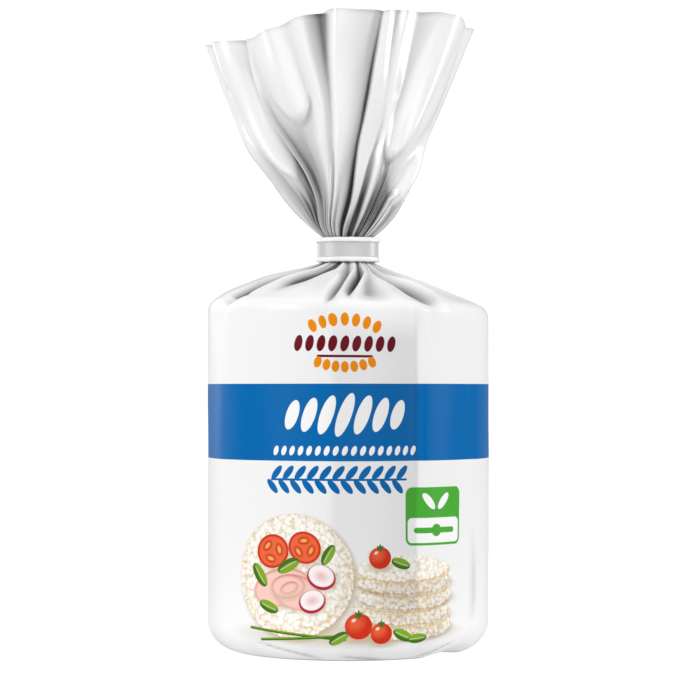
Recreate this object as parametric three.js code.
// A bag of puffed rice cakes. Millimetres, +Z up, standing on its foot, with the front facing -Y.
//
// A round stack of cakes fills a tube of white film. The film is folded flat under the stack, drawn in
// over its top edge, gathered through a flat clip band, and fans out above the clip with an open mouth.
// The film and what it wraps are one solid. The clip band is the other.
//
// Each solid is a lathe: a plain profile is spun round Z, and its points are then moved to where the
// gathered film runs. "turn" is the angle round Z in radians, 0 at the front and growing towards +X.

import * as THREE from "three";

// ---- The stack and the film round it ----
const STACK_RADIUS = 47.5;
const FOOT_BEND = 10;
const SHOULDER_HEIGHT = 117; // where the film bends in over the top cake
const SHOULDER_BEND = 5;
const SHOULDER_TILT = 1.1; // the shoulder stands this much higher at -X and lower at +X
const SHOULDER_DOME = { mean: 1, left: 0.7 }; // the slope bows up this much, and more so at -X
const BACK_SEAM = { width: 10, relief: 0.5 };

// ---- The clip band round the neck: a flat strip with a wire in each edge ----
const CLIP_LOW = 130;
const CLIP_HEIGHT = 8.2;
const CLIP_WIDTH = 20.6;
const CLIP_DEPTH = 12.6;
const CLIP_WALL = 0.9;
const CLIP_BEAD = { relief: 0.55, halfHeight: 0.9 }; // the wires
const CLIP_LAP = { width: 7, relief: 0.7 }; // the strip's ends lap at the back
const CLIP_GAP = 0.35;

// ---- The fan of film above the clip ----
const FAN_HEIGHT = 73.5;
// The mouth's edge hangs lower towards both corners, between these shares of the way out to them.
const FAN_DROP = { left: { by: 8.6, from: -0.05, to: 0.75 }, right: { by: 3.3, from: 0.85, to: 1 } };
const FAN_BELLY = 8; // height over which the film swings out of the clip
const FAN_SWING = { width: 8.6, depth: 6 };
const FAN_SLOPE = { width: 0.4, depth: 0.165 }; // outward run for each millimetre up
const FAN_LEAN = { by: 4.3, from: 4, to: 34 }; // its middle moves towards -X between these heights
const FILM_WALL = 1.2;
const THROAT_HEIGHT = 9; // the mouth is open down to here, above the clip

// ---- The folds ----
// Degrees of turn of the ridges from the stack's edge to the clip, and from the clip to the mouth.
const SHOULDER_RIDGES = [-166, -142, -118, -92, -71, -51, -26, 0, 22, 34, 56, 74, 90, 113, 137, 160, 178];
const FAN_RIDGES = [-146, -118, -89, -57, -38, -27, 8, 24, 33, 60, 88, 116, 141, 178];
const FULL_FOLD = 26; // degrees: a fold narrower than this is shallower in proportion
const SHOULDER_FOLD = 3.4;
const CROWDING = { dome: 0.6, fold: 0.8 }; // below 1 the slope's dome or folds peak nearer the edge
const NECK_FOLD = 0.6;
const FAN_FOLD = { low: 6.6, mouth: 5.4, grows: 9 }; // it opens over the first "grows" of height
const FOOT_FOLD = 0.8;

// ---- How finely the solids are divided ----
const FILM_TURNS = 120;
const CLIP_TURNS = 60;
const STEPS = { foot: 2, bend: 4, wall: 3, slope: 6, fan: 9, lining: 6, bead: 3 };
const FAN_CROWDING = 1.7; // above 1 crowds the steps towards the clip

const clipTop = CLIP_LOW + CLIP_HEIGHT;
const neck = {
  halfWidth: CLIP_WIDTH / 2 - CLIP_WALL - CLIP_GAP,
  halfDepth: CLIP_DEPTH / 2 - CLIP_WALL - CLIP_GAP,
};
const shoulderSlope = Math.atan2(CLIP_LOW - SHOULDER_HEIGHT, STACK_RADIUS - neck.halfWidth);

const mix = THREE.MathUtils.lerp;
const ramp = THREE.MathUtils.smoothstep;

// The values of make(share) for shares from 0 to 1.
function steps(count, make) {
  return Array.from({ length: count + 1 }, (_, i) => make(i / count));
}

// How deep in a fold the film is: 0 on a ridge, up to 1 in the valley of a full fold.
// softness 1 pinches the valleys sharp, and 2 leaves them as round as the ridges.
function valley(turn, ridges, softness = 1) {
  const degrees = THREE.MathUtils.radToDeg(turn);
  const from = ridges[0] + THREE.MathUtils.euclideanModulo(degrees - ridges[0], 360);
  const next = ridges.findIndex((ridge) => ridge > from);
  const high = next < 0 ? ridges[0] + 360 : ridges[next];
  const low = next < 0 ? ridges[ridges.length - 1] : ridges[next - 1];
  const share = (from - low) / (high - low);
  const depth = Math.min(1, (high - low) / FULL_FOLD);
  return depth * (1 - Math.abs(Math.cos(Math.PI * share)) ** softness);
}

// A point of an oval ring, moved inwards by "inset" along the ring's own normal.
function ringPoint(turn, halfWidth, halfDepth, inset, centreX, height) {
  const normal = new THREE.Vector2(Math.sin(turn) / halfWidth, -Math.cos(turn) / halfDepth).normalize();
  return new THREE.Vector3(
    centreX + halfWidth * Math.sin(turn) - inset * normal.x,
    -halfDepth * Math.cos(turn) - inset * normal.y,
    height,
  );
}

// How far out a strip down the middle of the back stands at this turn.
function backStrip(turn, radius, { width, relief }) {
  const fromBack = Math.abs(Math.PI - THREE.MathUtils.euclideanModulo(turn, 2 * Math.PI));
  return fromBack * radius < width / 2 ? relief : 0;
}

// ---- Where each stretch of the film runs: (share along the stretch, turn, plain point) => point ----

function footPoint(along, turn, plain) {
  return new THREE.Vector3(plain.x * Math.sin(turn), -plain.x * Math.cos(turn), plain.y);
}

function footBendPoint(along, turn, plain) {
  const fold = FOOT_FOLD * Math.sin(Math.PI * along) * valley(turn, SHOULDER_RIDGES);
  return ringPoint(turn, plain.x, plain.x, fold, 0, plain.y);
}

function wallPoint(along, turn, plain) {
  return ringPoint(turn, plain.x, plain.x, -backStrip(turn, STACK_RADIUS, BACK_SEAM), 0, plain.y);
}

function shoulderBendPoint(along, turn, plain) {
  const seam = backStrip(turn, STACK_RADIUS, BACK_SEAM) * (1 - along);
  return ringPoint(turn, plain.x, plain.x, -seam, 0, plain.y - SHOULDER_TILT * Math.sin(turn));
}

function slopePoint(along, turn, plain) {
  const bent = STACK_RADIUS - SHOULDER_BEND * (1 - Math.sin(shoulderSlope));
  const halfWidth = mix(bent, neck.halfWidth, along);
  const halfDepth = mix(bent, neck.halfDepth, along);
  const tilt = SHOULDER_TILT * Math.sin(turn) * (1 - along);
  const domed = Math.sin(Math.PI * along ** CROWDING.dome);
  const dome = domed * (SHOULDER_DOME.mean - SHOULDER_DOME.left * Math.sin(turn));
  const folded = valley(turn, SHOULDER_RIDGES);
  const fold = SHOULDER_FOLD * Math.sin(Math.PI * along ** CROWDING.fold) * folded;
  return ringPoint(turn, halfWidth, halfDepth, NECK_FOLD * along * folded, 0, plain.y - tilt + dome - fold);
}

function neckPoint(along, turn, plain) {
  return ringPoint(turn, neck.halfWidth, neck.halfDepth, NECK_FOLD * valley(turn, FAN_RIDGES), 0, plain.y);
}

// The height of the mouth's edge above the clip: full in the middle, lower at both corners.
function mouthHeight(turn) {
  const { left, right } = FAN_DROP;
  const side = Math.sin(turn);
  return FAN_HEIGHT - left.by * ramp(-side, left.from, left.to) - right.by * ramp(side, right.from, right.to);
}

function fanCentreX(height) {
  return -FAN_LEAN.by * ramp(height, FAN_LEAN.from, FAN_LEAN.to);
}

function fanPoint(along, turn, inset) {
  const height = along * mouthHeight(turn);
  const swing = 1 - Math.exp(-height / FAN_BELLY);
  const halfWidth = neck.halfWidth + FAN_SWING.width * swing + FAN_SLOPE.width * height;
  const halfDepth = neck.halfDepth + FAN_SWING.depth * swing + FAN_SLOPE.depth * height;
  const opened = 1 - Math.exp(-height / FAN_FOLD.grows);
  const depth = mix(NECK_FOLD, mix(FAN_FOLD.low, FAN_FOLD.mouth, along), opened);
  const fold = depth * valley(turn, FAN_RIDGES, 1 + ramp(along, 0, 1));
  return ringPoint(turn, halfWidth, halfDepth, fold + inset, fanCentreX(height), clipTop + height);
}

function fanOuterPoint(along, turn) {
  return fanPoint(along, turn, 0);
}

function fanLiningPoint(along, turn) {
  return fanPoint(mix(1, THROAT_HEIGHT / mouthHeight(turn), along), turn, FILM_WALL);
}

function throatPoint() {
  return new THREE.Vector3(fanCentreX(THROAT_HEIGHT), 0, clipTop + THROAT_HEIGHT);
}

// ---- The plain profiles. A station is a point (radius, height) with its share and its place function ----

// An arc of stations, round the point (radius, height).
function bend(radius, height, size, from, to, place) {
  return steps(STEPS.bend, (along) => {
    const angle = mix(from, to, along);
    const plain = new THREE.Vector2(radius + size * Math.cos(angle), height + size * Math.sin(angle));
    return { plain, along, place };
  });
}

// From the middle of the foot, up the outside and down into the mouth.
function bagStations() {
  const footRadius = STACK_RADIUS - FOOT_BEND;
  const foot = steps(STEPS.foot, (along) => {
    return { plain: new THREE.Vector2(footRadius * along, 0), along, place: footPoint };
  }).slice(0, -1);
  const footBend = bend(footRadius, FOOT_BEND, FOOT_BEND, -Math.PI / 2, 0, footBendPoint);

  const wallTop = SHOULDER_HEIGHT - SHOULDER_BEND;
  const wall = steps(STEPS.wall, (along) => {
    const plain = new THREE.Vector2(STACK_RADIUS, mix(FOOT_BEND, wallTop, along));
    return { plain, along, place: wallPoint };
  }).slice(1, -1);

  const bendRadius = STACK_RADIUS - SHOULDER_BEND;
  const bendEnd = Math.PI / 2 - shoulderSlope;
  const shoulderBend = bend(bendRadius, wallTop, SHOULDER_BEND, 0, bendEnd, shoulderBendPoint);
  const bendTop = shoulderBend[STEPS.bend].plain;

  const slope = steps(STEPS.slope, (along) => {
    const plain = new THREE.Vector2(mix(bendTop.x, neck.halfWidth, along), mix(bendTop.y, CLIP_LOW, along));
    return { plain, along, place: slopePoint };
  }).slice(1);

  const neckTop = { plain: new THREE.Vector2(neck.halfWidth, clipTop), along: 1, place: neckPoint };

  const fan = steps(STEPS.fan, (share) => {
    const along = share ** FAN_CROWDING;
    return { plain: new THREE.Vector2(neck.halfWidth, clipTop + along), along, place: fanOuterPoint };
  }).slice(1);
  const lining = steps(STEPS.lining, (share) => {
    const along = 1 - (1 - share) ** FAN_CROWDING;
    const plain = new THREE.Vector2(neck.halfWidth / 2, clipTop + 1 - along);
    return { plain, along, place: fanLiningPoint };
  });
  const throat = { plain: new THREE.Vector2(0, clipTop), along: 1, place: throatPoint };

  return [...foot, ...footBend, ...wall, ...shoulderBend, ...slope, neckTop, ...fan, ...lining, throat];
}

// The strip's section as (distance out from its inner face, height). "along" is 1 on its outer face.
function clipStations() {
  const bead = (height) => {
    return steps(STEPS.bead, (share) => {
      const angle = mix(-Math.PI / 2, Math.PI / 2, share);
      const out = CLIP_WALL + CLIP_BEAD.relief * Math.cos(angle);
      return new THREE.Vector2(out, height + CLIP_BEAD.halfHeight * Math.sin(angle));
    });
  };
  const outer = [...bead(CLIP_BEAD.halfHeight), ...bead(CLIP_HEIGHT - CLIP_BEAD.halfHeight)];
  const innerLow = { plain: new THREE.Vector2(0, 0), along: 0, place: clipPoint };
  const innerTop = { plain: new THREE.Vector2(0, CLIP_HEIGHT), along: 0, place: clipPoint };
  return [innerLow, ...outer.map((plain) => ({ plain, along: 1, place: clipPoint })), innerTop, innerLow];
}

function clipPoint(along, turn, plain) {
  const lap = along * backStrip(turn, CLIP_WIDTH / 2, CLIP_LAP);
  const inset = CLIP_WALL - plain.x - lap;
  return ringPoint(turn, CLIP_WIDTH / 2, CLIP_DEPTH / 2, inset, 0, CLIP_LOW + plain.y);
}

// Spins the plain profile round Z, then moves every point to its place.
function gatheredLathe(stations, turns, axisDistance = 0) {
  const profile = stations.map(({ plain }) => new THREE.Vector2(axisDistance + plain.x, plain.y));
  const geometry = new THREE.LatheGeometry(profile, turns).rotateX(Math.PI / 2);
  const position = geometry.getAttribute("position");
  for (let i = 0; i < position.count; i++) {
    const { plain, along, place } = stations[i % stations.length];
    const column = Math.floor(i / stations.length) % turns;
    const point = place(along, (2 * Math.PI * column) / turns, plain);
    position.setXYZ(i, point.x, point.y, point.z);
  }
  geometry.deleteAttribute("normal");
  geometry.deleteAttribute("uv");
  return geometry;
}

function filmBag() {
  const film = new THREE.MeshStandardMaterial({ color: 0xf2f2f3, roughness: 0.3, metalness: 0 });
  const mesh = new THREE.Mesh(gatheredLathe(bagStations(), FILM_TURNS), film);
  mesh.name = "film_bag";
  return mesh;
}

function clipBand() {
  const plastic = new THREE.MeshStandardMaterial({ color: 0xededee, roughness: 0.45, metalness: 0 });
  const mesh = new THREE.Mesh(gatheredLathe(clipStations(), CLIP_TURNS, CLIP_WIDTH / 2 - CLIP_WALL), plastic);
  mesh.name = "clip_band";
  return mesh;
}

const bag = new THREE.Group();
bag.add(filmBag(), clipBand());

export default bag;
